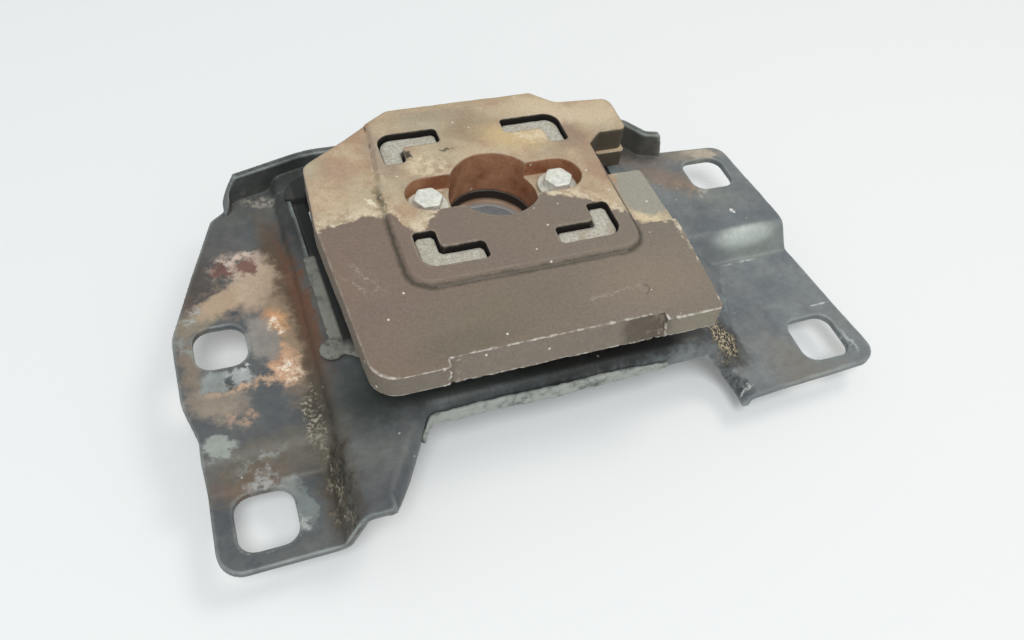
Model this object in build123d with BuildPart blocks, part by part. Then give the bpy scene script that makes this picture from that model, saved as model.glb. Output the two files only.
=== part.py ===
"""Used engine mount: a pressed sheet bracket, a rubber ring, an aluminium core and a cast inertia plate.

The frame is the mount's own: the origin lies on the axis of the main stud, at the foot of the core.
+X is the bracket's right, +Y its rear (the side with the upturned rim) and +Z is up. Lengths are in mm.
"""

import os
from math import atan2, cos, radians, tan

from build123d import *

# Levels above the foot of the core
pan_top = 31.0
wing_top = 25.0
foot_top = 15.6
core_flange_top = 37.5
field_top = 57.0
rim_top = 37.0

# Thicknesses that set the levels between them
core_flange_thickness = 6.0
field_rise = 2.0
plate_thickness = 9.5
core_flange_bottom = core_flange_top - core_flange_thickness
plate_level = field_top - field_rise
plate_bottom = plate_level - plate_thickness

# Pressed sheet
sheet = 3.0
bend = 2.4
soft_bend = 6.0
pan_left = -76.5
pan_left_run = 6.5
pan_right = 73.1
pan_right_y = -34.0
pan_right_run = 21.0
pan_lean_front = 0.345
pan_lean_rear = -0.12
pan_turn = 20.0
left_wing_end = -40.0
right_wing_end = 30.0
left_joggle_y = -72.5
left_joggle_run = 7.0
right_joggle_y = -18.0
right_joggle_run = 8.0

# Sheet outline: corners and their radii, from the left foot round by the front
front_edge = -75.3
inner_edge = 74.0
sheet_corners = [
    (-121.6, -108.5, 8.5),
    (-65.5, -108.0, 3.0),
    (-46.5, front_edge, 5.0),
    (inner_edge, front_edge, 9.0),
    (inner_edge, -92.4, 1.0),
    (137.6, -89.0, 8.0),
    (130.3, -25.0, 3.0),
    (130.7, -13.0, 6.0),
    (126.0, 34.5, 7.0),
    (94.3, 36.6, 1.5),
    (86.6, 38.8, 2.5),
    (80.0, 48.5, 5.0),
    (60.0, 57.5, 20.0),
    (-63.0, 57.5, 40.0),
    (-98.5, 47.5, 6.0),
    (-98.5, 41.0, 2.0),
    (-104.5, 36.5, 5.0),
    (-115.0, 8.0, 40.0),
    (-124.8, -20.0, 18.0),
    (-124.6, -48.0, 30.0),
    (-120.7, -64.0, 10.0),
]
front_rim_depth = 8.0
foot_rim_depth = 7.0
rim_left_start = -98.4
rim_left_full = -92.5
rim_right_full = 92.0
rim_right_end = 94.2
rim_end_height = 1.5
rim_front = 17.0
corner_rim_depth = 3.4
corner_rim_back = 12.0

# Windows for the bracket's own screws: centre x, centre y, width, depth
windows = [
    (-109.0, -26.9, 18.0, 18.7),
    (111.5, 18.3, 19.9, 19.4),
    (-104.7, -92.0, 19.6, 21.0),
    (117.4, -73.6, 21.1, 21.3),
]
window_corner = 6.0

# Opening in the pan for the rubber, with its left side leaning in towards the front
opening_left_rear = -73.0
opening_left_front = -69.5
opening_right = 60.0
opening_front = -47.0
opening_rear = 45.5
opening_corner = 11.0

# Rubber
ring_wall = 6.0
ring_bottom = 20.0
ring_lip = 3.0
ring_lip_rise = 1.5
ring_edge = 0.7
ring_bare_y = 2.0
nub_x = -72.5
nub_y = -43.5
nub_radius = 4.5
nub_rise = 2.6
nub_edge = 1.0
arm_width = 34.0
arm_depth = 11.0
arm_inner_bottom = 9.0
arm_sink = 2.0
strip_thickness = 1.2
strip_left = -41.0
strip_right = 45.0
strip_top_gap = 2.2
strip_drop = 0.8
strip_tongue = 6.0

# Core and its steel sleeve
foot_width = 64.0
foot_depth = 60.0
foot_shift = -4.0
foot_height = 7.0
block_width = 60.0
block_depth = 44.0
core_corner = 8.0
flange_width = 80.0
flange_depth = 76.0
lug_sink = 2.4
lug_top = field_top - lug_sink
lug_gap = 0.8
lug_shift = -0.6
sleeve_outer = 14.0
sleeve_bore = 6.5
sleeve_top = 32.0
press_gap = 0.05
thread_clearance = 0.6

# Inertia plate
hole_radius = 17.45
plate_corners = [
    (-65.0, -77.3, 9.5),
    (59.2, -77.0, 2.5),
    (61.9, -38.0, 20.0),
    (61.0, -1.5, 2.0),
    (46.0, -1.5, 0.0),
    (46.0, 15.5, 0.0),
    (52.5, 21.0, 2.0),
    (65.0, 21.0, 3.0),
    (65.2, 41.4, 5.0),
    (41.0, 43.5, 3.0),
    (32.5, 51.6, 3.0),
    (-30.2, 51.6, 4.0),
    (-67.6, 26.2, 5.0),
    (-69.4, -6.0, 30.0),
]
field_corners = [
    (-44.0, -43.5, 9.0),
    (44.5, -43.5, 9.0),
    (46.0, 15.5, 0.0),
    (80.0, 15.5, 0.0),
    (80.0, 60.0, 0.0),
    (-38.5, 60.0, 0.0),
    (-40.5, 30.0, 12.0),
    (-44.0, 2.0, 20.0),
]
field_edge = 1.4
scoop_left = -40.0
scoop_right = 37.0
scoop_depth = 3.6
shelf_front = -32.0
shelf_drop = 1.4
slot_x = 37.9
slot_y = 36.1
slot_leg_x = 24.5
slot_leg_y = 17.6
slot_width = 8.6
slot_corner = 2.0
slot_outer_corner = 6.0
boss_wall = 7.5
stop_x = 52.0
stop_y = 19.5
stop_width = 13.5
stop_depth = 15.0
stop_height = 8.0

# Bolts and washers
bolt_x = 26.2
bolt_pocket_radius = 8.8
bolt_pocket_depth = 7.5
bolt_size = 6.0
bolt_hole_gap = 0.3
bolt_length = 20.0
bolt_flats = 10.0
bolt_head = 4.0
bolt_chamfer = 0.7
washer_outer = 7.8
washer_thickness = 1.6
washer_gap = 0.3

# Room beyond the sheet, used by the solids that the bracket is cut from
room_x = (-150.0, 160.0)
room_y = (-135.0, 85.0)
room_bottom = -4.0
room_height = 100.0
overrun = 3.0

pan_drop = pan_top - foot_top


def outline(corners):
    """Closed sketch through corners given as (x, y, radius)."""
    with BuildSketch() as sketch:
        with BuildLine():
            FilletPolyline(
                *[(x, y) for x, y, r in corners],
                radius=[r for x, y, r in corners],
                close=True,
            )
        make_face()
    return sketch.sketch


def wall_shift(inset, drop, run):
    """How far a sloping wall's bend moves in when its face is offset by inset."""
    return inset * tan(atan2(drop, run) / 2)


def sharp_inner_edges(part, floor):
    """Edges above the floor level where two faces meet in an inward corner."""
    faces = part.faces()
    edges = []
    for edge in part.edges():
        middle = edge @ 0.5
        inside = room_x[0] + 1 < middle.X < room_x[1] - 1 and room_y[0] + 1 < middle.Y < room_y[1] - 1
        if middle.Z < floor or not inside:
            continue
        pair = [face for face in faces if any(edge.is_same(other) for other in face.edges())]
        smooth = len(pair) == 2 and pair[0].normal_at(middle).dot(pair[1].normal_at(middle)) > 0.98
        if not smooth and edge.is_interior:
            edges.append(edge)
    return edges


def pan_corners(z, inset):
    """Plan of the raised pan at height z, whose walls lean out as they go down."""
    fall = (pan_top - inset - z) / pan_drop
    left = pan_left + wall_shift(inset, pan_drop, pan_left_run) - pan_left_run * fall
    right = pan_right - wall_shift(inset, pan_drop, pan_right_run) + pan_right_run * fall
    return [
        (left, room_y[0]),
        (right + pan_lean_front * (room_y[0] - pan_right_y), room_y[0]),
        (right, pan_right_y),
        (right + pan_lean_rear * (room_y[1] - pan_right_y), room_y[1]),
        (left, room_y[1]),
    ]


def raised_pan(inset):
    """The pan as a block with leaning sides and rounded upper bends."""
    with BuildPart() as pan:
        for z in (foot_top - inset - overrun, pan_top - inset):
            with BuildSketch(Plane.XY.offset(z)):
                with BuildLine():
                    Polyline(*pan_corners(z, inset), close=True)
                make_face()
        loft(ruled=True)
        rising = pan.edges().filter_by(lambda e: abs((e @ 0).Z - (e @ 1).Z) > pan_drop / 2)
        fillet(rising.sort_by(lambda e: abs((e @ 0.5).Y - pan_right_y))[0], pan_turn)
        top = pan.faces().sort_by(Axis.Z)[-1]
        fillet(top.edges().sort_by(Axis.X)[0], bend + sheet - inset)
        top = pan.faces().sort_by(Axis.Z)[-1]
        bends = top.edges().filter_by(lambda e: (e @ 0.5).X > 0 and abs((e % 0.5).Y) > 0.5)
        fillet(bends, soft_bend + sheet - inset)
    return pan.part


def wing_block(x_near, x_far, joggle_y, joggle_run, inset):
    """A rear wing as a block that steps down to the foot in front of it."""
    drop = wing_top - foot_top
    bend_y = joggle_y + wall_shift(inset, drop, joggle_run)
    low = foot_top - inset - overrun
    with BuildPart() as wing:
        with BuildSketch(Plane.YZ.offset(x_near)):
            with BuildLine():
                Polyline(
                    (room_y[1], low),
                    (room_y[1], wing_top - inset),
                    (bend_y, wing_top - inset),
                    (bend_y - joggle_run * (1 + overrun / drop), low),
                    close=True,
                )
            make_face()
        extrude(amount=x_far - x_near)
        fillet(wing.faces().sort_by(Axis.Z)[-1].edges().sort_by(Axis.Y)[0], bend + sheet - inset)
    return wing.part


def front_gap(inset):
    """Plan of the open space before the pan, between the two feet."""
    corners = [
        (sheet_corners[1][0], room_y[0] - room_height, 0.0),
        (sheet_corners[1][0], sheet_corners[1][1], 0.0),
        sheet_corners[2],
        sheet_corners[3],
        (inner_edge, room_y[0] - room_height, 0.0),
    ]
    with BuildSketch() as gap:
        add(outline(corners))
        if inset:
            offset(amount=inset, kind=Kind.INTERSECTION)
    return gap.sketch


def front_rim_edges(form, inset):
    """Upper edges of the walls round the gap before the pan."""
    walls = front_gap(inset).edges().filter_by(lambda e: (e @ 0.5).Y > room_y[0])
    edges = []
    for edge in form.edges():
        middle = edge @ 0.5
        along = any(wall.distance_to(Vertex(middle.X, middle.Y, 0)) < 0.01 for wall in walls)
        level = abs((edge % 0.5).Z) < 0.9
        if along and level and middle.Z > foot_top - inset - 0.01:
            edges.append(edge)
    return edges


def pressed_form(inset):
    """Solid below the sheet's upper face, or below its lower face when inset is the sheet's thickness."""
    with BuildPart() as form:
        with BuildSketch(Plane.XY.offset(room_bottom - inset)):
            with Locations(((room_x[0] + room_x[1]) / 2, (room_y[0] + room_y[1]) / 2)):
                Rectangle(room_x[1] - room_x[0], room_y[1] - room_y[0])
        extrude(amount=foot_top - room_bottom)
        add(raised_pan(inset))
        add(wing_block(room_x[0], left_wing_end, left_joggle_y, left_joggle_run, inset))
        add(wing_block(right_wing_end, room_x[1], right_joggle_y, right_joggle_run, inset))
        fillet(sharp_inner_edges(form, foot_top - inset - 0.01), bend + inset)
        with BuildSketch(Plane.XY.offset(room_bottom - inset - 1)):
            add(front_gap(inset))
        extrude(amount=room_height, mode=Mode.SUBTRACT)
        if inset:
            chamfer(front_rim_edges(form, inset), bend / 2)
        else:
            fillet(front_rim_edges(form, inset), bend + sheet)
    return form.part


def side_profile(points, y_near, y_far):
    """Prism along Y through points given as (x, z)."""
    with BuildPart() as prism:
        with BuildSketch(Plane.XZ.offset(-y_near)):
            with BuildLine():
                Polyline(*points, close=True)
            make_face()
        extrude(amount=-(y_far - y_near))
    return prism.part


def opening_sketch(grow):
    """The opening in the pan, made larger or smaller all round."""
    with BuildSketch() as opening:
        with BuildLine():
            FilletPolyline(
                (opening_left_front, opening_front),
                (opening_right, opening_front),
                (opening_right, opening_rear),
                (opening_left_rear, opening_rear),
                radius=opening_corner,
                close=True,
            )
        make_face()
        if grow:
            offset(amount=grow)
    return opening.sketch


def slot_sketch(gap):
    """Four L-shaped slots, their corners outwards, or the lugs that stand in them when gap is given."""
    with BuildSketch() as slots:
        for turn_x in (-1, 1):
            for turn_y in (-1, 1):
                with BuildSketch(mode=Mode.PRIVATE) as slot:
                    with BuildLine():
                        Polyline(
                            (slot_x * turn_x, slot_y * turn_y),
                            ((slot_x - slot_leg_x) * turn_x, slot_y * turn_y),
                            ((slot_x - slot_leg_x) * turn_x, (slot_y - slot_width) * turn_y),
                            ((slot_x - slot_width) * turn_x, (slot_y - slot_width) * turn_y),
                            ((slot_x - slot_width) * turn_x, (slot_y - slot_leg_y) * turn_y),
                            (slot_x * turn_x, (slot_y - slot_leg_y) * turn_y),
                            close=True,
                        )
                    make_face()
                    if gap:
                        offset(amount=-gap, kind=Kind.INTERSECTION)
                    corners = slot.vertices().sort_by_distance((slot_x * turn_x, slot_y * turn_y))
                    if gap:
                        chamfer(corners[1:], slot_corner - gap)
                    else:
                        fillet(corners[1:], slot_corner)
                    corners = slot.vertices().sort_by_distance((slot_x * turn_x, slot_y * turn_y))
                    fillet(corners[0], slot_outer_corner - gap)
                add(slot.sketch)
    return slots.sketch


os.makedirs("parts", exist_ok=True)

# Bracket: the sheet between two pressed forms, cut to its outline
rim_low = pan_top - front_rim_depth
foot_rim_low = foot_top - foot_rim_depth
with BuildPart() as mounting_bracket:
    add(pressed_form(0))
    add(pressed_form(sheet), mode=Mode.SUBTRACT)
    add(
        side_profile(
            [
                (pan_left + bend + sheet, room_bottom - sheet - 1),
                (pan_left + bend + sheet, rim_low),
                (inner_edge - 2 * soft_bend, rim_low),
                (inner_edge, foot_rim_low),
                (room_x[1], foot_rim_low),
                (room_x[1], room_bottom - sheet - 1),
            ],
            room_y[0],
            room_y[1],
        ),
        mode=Mode.SUBTRACT,
    )
    corner_x, corner_y, corner_radius = sheet_corners[1]
    with BuildSketch(Plane.YZ.offset(corner_x - 2 * bend - sheet)):
        with BuildLine():
            Polyline(
                (room_y[0], room_bottom),
                (corner_y + corner_rim_back, room_bottom),
                (corner_y + corner_rim_back, rim_low),
                (corner_y, pan_top - corner_rim_depth),
                (room_y[0], pan_top - corner_rim_depth),
                close=True,
            )
        make_face()
    extrude(amount=inner_edge - corner_x, mode=Mode.SUBTRACT)
    with BuildSketch(Plane.XY.offset(room_bottom - sheet)):
        add(outline(sheet_corners))
    extrude(amount=room_height, mode=Mode.INTERSECT)
    with BuildPart(mode=Mode.PRIVATE) as rear_rim:
        with BuildSketch(Plane.XY.offset(wing_top - sheet / 2)):
            add(outline(sheet_corners))
            with BuildSketch(mode=Mode.PRIVATE) as inside:
                add(outline(sheet_corners))
                offset(amount=-sheet)
            add(inside.sketch, mode=Mode.SUBTRACT)
            with Locations(((rim_left_start + rim_right_end) / 2, (rim_front + room_y[1]) / 2)):
                Rectangle(rim_right_end - rim_left_start, room_y[1] - rim_front, mode=Mode.INTERSECT)
        extrude(amount=rim_top)
        add(
            side_profile(
                [
                    (rim_left_start, room_bottom),
                    (rim_left_start, wing_top + rim_end_height),
                    (rim_left_full, rim_top),
                    (rim_right_full, rim_top),
                    (rim_right_end, wing_top + rim_end_height),
                    (rim_right_end, room_bottom),
                ],
                room_y[0],
                room_y[1],
            ),
            mode=Mode.INTERSECT,
        )
    add(rear_rim.part)
    with BuildSketch(Plane.XY.offset(room_bottom)):
        add(opening_sketch(0))
        for x, y, width, depth in windows:
            with Locations((x, y)):
                RectangleRounded(width, depth, window_corner)
    extrude(amount=room_height, mode=Mode.SUBTRACT)

mounting_bracket.part.label = "mounting_bracket"
export_step(mounting_bracket.part, "parts/mounting_bracket.step")

# Rubber ring moulded to the opening's edge, with a lip over the pan and an arm to each side of the core
with BuildPart() as rubber_body:
    with BuildSketch(Plane.XY.offset(ring_bottom)):
        add(opening_sketch(0))
        add(opening_sketch(-ring_wall), mode=Mode.SUBTRACT)
    extrude(amount=pan_top + ring_lip_rise - ring_bottom)
    with BuildSketch(Plane.XY.offset(pan_top)):
        add(opening_sketch(ring_lip))
        add(opening_sketch(-ring_wall), mode=Mode.SUBTRACT)
    extrude(amount=ring_lip_rise)
    chamfer(rubber_body.faces().sort_by(Axis.Z)[-1].edges(), ring_edge)
    bare_x = (opening_left_rear - ring_lip - ring_edge, opening_left_front + ring_wall)
    bare_y = (ring_bare_y, opening_rear - opening_corner)
    with BuildSketch(Plane.XY.offset(pan_top - sheet)):
        with Locations(((bare_x[0] + bare_x[1]) / 2, (bare_y[0] + bare_y[1]) / 2)):
            Rectangle(bare_x[1] - bare_x[0], bare_y[1] - bare_y[0])
    extrude(amount=sheet + ring_lip_rise, mode=Mode.SUBTRACT)
    arm_top = pan_top - arm_sink
    for side, ring_x in ((-1, opening_left_rear + ring_wall / 2), (1, opening_right - ring_wall / 2)):
        add(
            side_profile(
                [
                    (ring_x, arm_top),
                    (ring_x, arm_top - arm_depth + arm_sink),
                    (side * block_width / 2, arm_inner_bottom),
                    (side * block_width / 2, arm_inner_bottom + arm_depth),
                ],
                -arm_width / 2,
                arm_width / 2,
            )
        )
    with BuildSketch(Plane.XY.offset(pan_top)):
        with Locations((nub_x, nub_y)):
            Circle(nub_radius)
    extrude(amount=nub_rise)
    chamfer(rubber_body.faces().sort_by(Axis.Z)[-1].edges(), nub_edge)

rubber_body.part.label = "rubber_body"
export_step(rubber_body.part, "parts/rubber_body.step")

# Rubber lip on the outside of the pan's front rim, its lower edge drooping to a tongue
strip_top = pan_top - strip_top_gap
strip_bottom = rim_low - strip_drop
with BuildPart() as front_strip:
    with BuildSketch(Plane.XZ.offset(-front_edge)):
        with BuildLine():
            Line((strip_left, strip_top), (strip_right, strip_top))
            Line((strip_right, strip_top), (strip_right, strip_bottom + strip_drop))
            Polyline(
                (strip_right, strip_bottom + strip_drop),
                (strip_tongue * 2, strip_bottom + strip_drop / 2),
                (strip_tongue, strip_bottom - strip_drop),
                (0, strip_bottom - strip_drop),
                (-strip_tongue * 2, strip_bottom),
                (strip_left, strip_bottom),
            )
            Line((strip_left, strip_bottom), (strip_left, strip_top))
        make_face()
    extrude(amount=strip_thickness)

front_strip.part.label = "front_strip"
export_step(front_strip.part, "parts/front_strip.step")

# Levels of the bolts, whose pockets are sunk in the plate's field
pocket_floor = field_top - bolt_pocket_depth
bolt_seat = pocket_floor + washer_thickness
bolt_end = bolt_seat - bolt_length

# Cast core: foot, block between the rubber arms, flange under the plate and lugs up into its slots
with BuildPart() as core:
    with BuildSketch():
        with Locations((0, foot_shift)):
            RectangleRounded(foot_width, foot_depth, core_corner)
    extrude(amount=foot_height)
    with BuildSketch():
        RectangleRounded(block_width, block_depth, core_corner)
    extrude(amount=core_flange_bottom)
    with BuildSketch(Plane.XY.offset(core_flange_bottom)):
        RectangleRounded(flange_width, flange_depth, core_corner)
    extrude(amount=core_flange_top - core_flange_bottom)
    with BuildSketch(Plane.XY.offset(core_flange_top)):
        with Locations((0, lug_shift)):
            add(slot_sketch(lug_gap))
    extrude(amount=lug_top - core_flange_top)
    with BuildSketch(Plane.XY.offset(core_flange_bottom)):
        Circle(hole_radius)
    extrude(amount=core_flange_top - core_flange_bottom, mode=Mode.SUBTRACT)
    with BuildSketch():
        Circle(sleeve_outer + press_gap)
    extrude(amount=core_flange_top, mode=Mode.SUBTRACT)
    with BuildSketch(Plane.XY.offset(core_flange_top)):
        with Locations((-bolt_x, 0), (bolt_x, 0)):
            Circle(bolt_size / 2 + press_gap)
    extrude(amount=bolt_end - thread_clearance - core_flange_top, mode=Mode.SUBTRACT)

core.part.label = "core"
export_step(core.part, "parts/core.step")

with BuildPart() as centre_sleeve:
    with BuildSketch():
        Circle(sleeve_outer)
        Circle(sleeve_bore, mode=Mode.SUBTRACT)
    extrude(amount=sleeve_top)

centre_sleeve.part.label = "centre_sleeve"
export_step(centre_sleeve.part, "parts/centre_sleeve.step")

# Cast inertia plate: raised field, scooped front edge, rear shelf, stop under the ear, hub down to the core
with BuildPart() as raised_field:
    with BuildSketch(Plane.XY.offset(plate_bottom)):
        add(outline(plate_corners))
        add(outline(field_corners), mode=Mode.INTERSECT)
    extrude(amount=field_top - plate_bottom)
    chamfer(raised_field.faces().sort_by(Axis.Z)[-1].edges(), field_edge)

with BuildPart() as inertia_plate:
    with BuildSketch(Plane.XY.offset(plate_bottom)):
        add(outline(plate_corners))
    extrude(amount=plate_level - plate_bottom)
    add(raised_field.part)
    with BuildSketch(Plane.XY.offset(core_flange_top)):
        Circle(hole_radius + boss_wall)
        SlotCenterToCenter(2 * bolt_x, 2 * bolt_pocket_radius)
    extrude(amount=plate_bottom - core_flange_top)
    with BuildSketch(Plane.XY.offset(plate_bottom - stop_height)):
        with Locations((stop_x + stop_width / 2, stop_y + stop_depth / 2)):
            RectangleRounded(stop_width, stop_depth, slot_corner)
    extrude(amount=stop_height)
    with BuildSketch(Plane.XY.offset(plate_level - shelf_drop)):
        shelf_left = plate_corners[4][0]
        with Locations(((shelf_left + room_x[1]) / 2, (shelf_front + field_corners[2][1]) / 2)):
            Rectangle(room_x[1] - shelf_left, field_corners[2][1] - shelf_front)
    extrude(amount=shelf_drop, mode=Mode.SUBTRACT)
    front_y = plate_corners[1][1]
    with BuildSketch(Plane.YZ.offset(scoop_left)):
        with BuildLine():
            Polyline(
                (front_y - overrun, plate_bottom),
                (front_y, plate_bottom),
                (front_y + scoop_depth, plate_level),
                (front_y + scoop_depth, field_top),
                (front_y - overrun, field_top),
                close=True,
            )
        make_face()
    extrude(amount=scoop_right - scoop_left, mode=Mode.SUBTRACT)
    with BuildSketch(Plane.XY.offset(core_flange_top)):
        Circle(hole_radius)
        with Locations((-bolt_x, 0), (bolt_x, 0)):
            Circle(bolt_size / 2 + bolt_hole_gap)
        add(slot_sketch(0))
    extrude(amount=field_top - core_flange_top, mode=Mode.SUBTRACT)
    with BuildSketch(Plane.XY.offset(pocket_floor)):
        SlotCenterToCenter(2 * bolt_x, 2 * bolt_pocket_radius)
    extrude(amount=bolt_pocket_depth, mode=Mode.SUBTRACT)

inertia_plate.part.label = "inertia_plate"
export_step(inertia_plate.part, "parts/inertia_plate.step")


def washer(x):
    with BuildPart() as ring:
        with BuildSketch(Plane.XY.offset(pocket_floor)):
            with Locations((x, 0)):
                Circle(washer_outer)
                Circle(bolt_size / 2 + washer_gap, mode=Mode.SUBTRACT)
        extrude(amount=washer_thickness)
    return ring.part


def bolt(x):
    """Hexagon bolt whose head stands on its washer."""
    with BuildPart() as screw:
        with BuildSketch(Plane.XY.offset(bolt_seat)):
            with Locations((x, 0)):
                Circle(bolt_flats / 2 / cos(radians(30)))
        extrude(amount=bolt_head)
        chamfer(screw.edges().group_by(Axis.Z)[-1], bolt_chamfer / 2, bolt_chamfer)
        with BuildSketch(Plane.XY.offset(bolt_seat)):
            with Locations((x, 0)):
                RegularPolygon(bolt_flats / 2, 6, major_radius=False)
        extrude(amount=bolt_head, mode=Mode.INTERSECT)
        with BuildSketch(Plane.XY.offset(bolt_end)):
            with Locations((x, 0)):
                Circle(bolt_size / 2)
        extrude(amount=bolt_length)
    return screw.part


for side, x in (("left", -bolt_x), ("right", bolt_x)):
    for piece, solid in ((f"washer_{side}", washer(x)), (f"bolt_{side}", bolt(x))):
        solid.label = piece
        export_step(solid, f"parts/{piece}.step")
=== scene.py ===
"""Looks of a used engine mount: a pressed sheet bracket, rubber, an aluminium core and the cast plate bolted on it.

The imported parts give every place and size. Each section below makes and finishes one piece of the mount, in metres;
lengths given in mm are multiplied by MM.
"""

from math import radians

import bpy
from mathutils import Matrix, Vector


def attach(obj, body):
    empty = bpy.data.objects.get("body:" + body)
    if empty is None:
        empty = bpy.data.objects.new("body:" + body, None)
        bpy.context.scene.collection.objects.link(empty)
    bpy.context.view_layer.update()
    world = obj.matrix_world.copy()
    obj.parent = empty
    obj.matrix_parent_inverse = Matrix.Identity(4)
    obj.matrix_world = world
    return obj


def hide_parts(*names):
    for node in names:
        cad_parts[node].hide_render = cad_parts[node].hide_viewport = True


MM = 0.001

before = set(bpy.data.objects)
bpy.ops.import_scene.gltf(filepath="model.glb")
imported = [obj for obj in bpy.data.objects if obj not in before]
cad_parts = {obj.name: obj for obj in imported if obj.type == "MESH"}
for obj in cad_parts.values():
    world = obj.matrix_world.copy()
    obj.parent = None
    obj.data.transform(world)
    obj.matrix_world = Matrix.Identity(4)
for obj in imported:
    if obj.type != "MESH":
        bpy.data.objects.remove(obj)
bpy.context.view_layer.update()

# Camera: it stands before the left foot, above the bracket, and looks down over the plate.
# A 30.5 mm lens on a 36 mm wide frame, with no shift and no blur.
camera_turn = [radians(angle) for angle in (39.53, -5.965, -19.345)]
bpy.ops.object.camera_add(location=(-0.09825, -0.22964, 0.27686), rotation=camera_turn)
camera = bpy.context.object
camera.name = "camera"
camera.data.lens = 30.54
camera.data.clip_start = 0.01
bpy.context.scene.camera = camera

# Room: a cool soft lamp high in front, a small warmer one from the right, and pale walls all round that fill the
# shadows. The mount lies on matt white paper that glows faintly.
room = bpy.data.worlds.new("pale_room")
bpy.context.scene.world = room
room.use_nodes = True
room.node_tree.nodes["Background"].inputs["Color"].default_value = (0.95, 0.98, 1.0, 1)
room.node_tree.nodes["Background"].inputs["Strength"].default_value = 0.44
bpy.context.scene.view_settings.view_transform = "Standard"
for name, place, size, power, colour in (
    ("front_lamp", (-0.35, -1.00, 1.85), 0.95, 24.0, (0.97, 0.99, 1.0)),
    ("right_lamp", (0.75, 0.15, 1.25), 0.55, 4.2, (1.0, 0.94, 0.84)),
):
    bpy.ops.object.light_add(type="AREA", location=place)
    lamp = bpy.context.object
    lamp.name = name
    lamp.data.shape = "DISK"
    lamp.data.size = size
    lamp.data.energy = power
    lamp.data.color = colour
    lamp.rotation_euler = (Vector((0, 0, 0.02)) - Vector(place)).to_track_quat("-Z", "Y").to_euler()


def tint(code):
    """A colour given as an sRGB hex code, as the linear values that a shader takes."""
    parts = [int(code[i : i + 2], 16) / 255 for i in (1, 3, 5)]
    return (*[p / 12.92 if p <= 0.04045 else ((p + 0.055) / 1.055) ** 2.4 for p in parts], 1)


def finish(name, metallic=0.0, roughness=0.5):
    """A new finish with its main shader, and the shader itself."""
    made = bpy.data.materials.new(name)
    made.use_nodes = True
    shader = made.node_tree.nodes["Principled BSDF"]
    shader.inputs["Metallic"].default_value = metallic
    shader.inputs["Roughness"].default_value = roughness
    return made, shader


def add(made, kind, inputs=None, **settings):
    """Adds a node to a finish with its settings. An input is given as a value or as another node's output."""
    node = made.node_tree.nodes.new("ShaderNode" + kind)
    for key, value in settings.items():
        setattr(node, key, value)
    for key, value in (inputs or {}).items():
        if isinstance(value, bpy.types.NodeSocket):
            made.node_tree.links.new(value, node.inputs[key])
        else:
            node.inputs[key].default_value = value
    return node


def ramp(made, value, start, end, low=0.0, high=1.0, **settings):
    """A value that goes from low to high while another goes from start to end."""
    levels = {"Value": value, "From Min": start, "From Max": end, "To Min": low, "To Max": high}
    return add(made, "MapRange", levels, **settings).outputs["Result"]


def mix(made, cover, under, over):
    """Lays a colour over another, as far as a cover from 0 to 1 says."""
    return add(made, "Mix", {0: cover, 6: under, 7: over}, data_type="RGBA").outputs[2]


def combine(made, operation, *values):
    """A number worked out from others by an operation such as MULTIPLY."""
    return add(made, "Math", dict(enumerate(values)), operation=operation).outputs[0]


bpy.ops.mesh.primitive_grid_add(x_subdivisions=8, y_subdivisions=8, size=6)
table = bpy.context.object
table.name = "table_top"
paper, paper_shader = finish("matt_white_paper", roughness=0.85)
grain = add(paper, "TexNoise", {"Scale": 3.0, "Detail": 2.0})
tone = mix(paper, grain.outputs["Fac"], tint("#DBDEDF"), tint("#E0E0DE"))
paper.node_tree.links.new(tone, paper_shader.inputs["Base Color"])
paper_shader.inputs["Emission Color"].default_value = tint("#F2F4F4")
paper_shader.inputs["Emission Strength"].default_value = 0.16
table.data.materials.append(paper)


# Mounting bracket: 3 mm steel sheet, blanked, pressed into a raised pan with a lower wing and foot at each side,
# then dipped in dark electro-coat. Used: dirt has baked on the left wing, and paint is chipped round the windows.
def finish_with(piece, kind, **settings):
    """Adds a modifier to a piece with its settings, and applies it."""
    bpy.ops.object.select_all(action="DESELECT")
    piece.select_set(True)
    bpy.context.view_layer.objects.active = piece
    modifier = piece.modifiers.new(kind.lower(), kind)
    for key, value in settings.items():
        setattr(modifier, key, value)
    bpy.ops.object.modifier_apply(modifier=modifier.name)


def worn_copy(node, grain_size, rounds, crisp=False):
    """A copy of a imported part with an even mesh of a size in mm, its edges worn a little, or less when crisp."""
    piece = bpy.data.objects.new(node + "_worn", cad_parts[node].data.copy())
    bpy.context.collection.objects.link(piece)
    piece.data.materials.clear()
    bpy.ops.object.select_all(action="DESELECT")
    piece.select_set(True)
    bpy.context.view_layer.objects.active = piece
    bpy.ops.object.mode_set(mode="EDIT")
    bpy.ops.mesh.select_all(action="SELECT")
    bpy.ops.mesh.remove_doubles(threshold=0.002 * MM)
    bpy.ops.object.mode_set(mode="OBJECT")
    if crisp:
        # The octree has 2**depth cells along the longest side, so a scale below 1 gives the grain size
        cells = max(piece.dimensions) / (grain_size * MM)
        depth = 8 if cells < 240 else 9
        finish_with(
            piece, "REMESH", mode="SHARP", octree_depth=depth, scale=cells / 2**depth, use_remove_disconnected=False
        )
    else:
        finish_with(piece, "REMESH", mode="VOXEL", voxel_size=grain_size * MM)
    finish_with(piece, "SMOOTH", factor=0.5, iterations=rounds)
    bpy.ops.object.shade_smooth()
    return piece


def waver(piece, spacing, depth):
    """Gives a piece's surface low swells of a spacing and depth in mm."""
    swell = bpy.data.textures.new(piece.name + "_swell", "CLOUDS")
    swell.noise_scale = spacing * MM
    swell.noise_depth = 2
    finish_with(piece, "DISPLACE", texture=swell, texture_coords="LOCAL", strength=depth * MM, mid_level=0.5)


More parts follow.
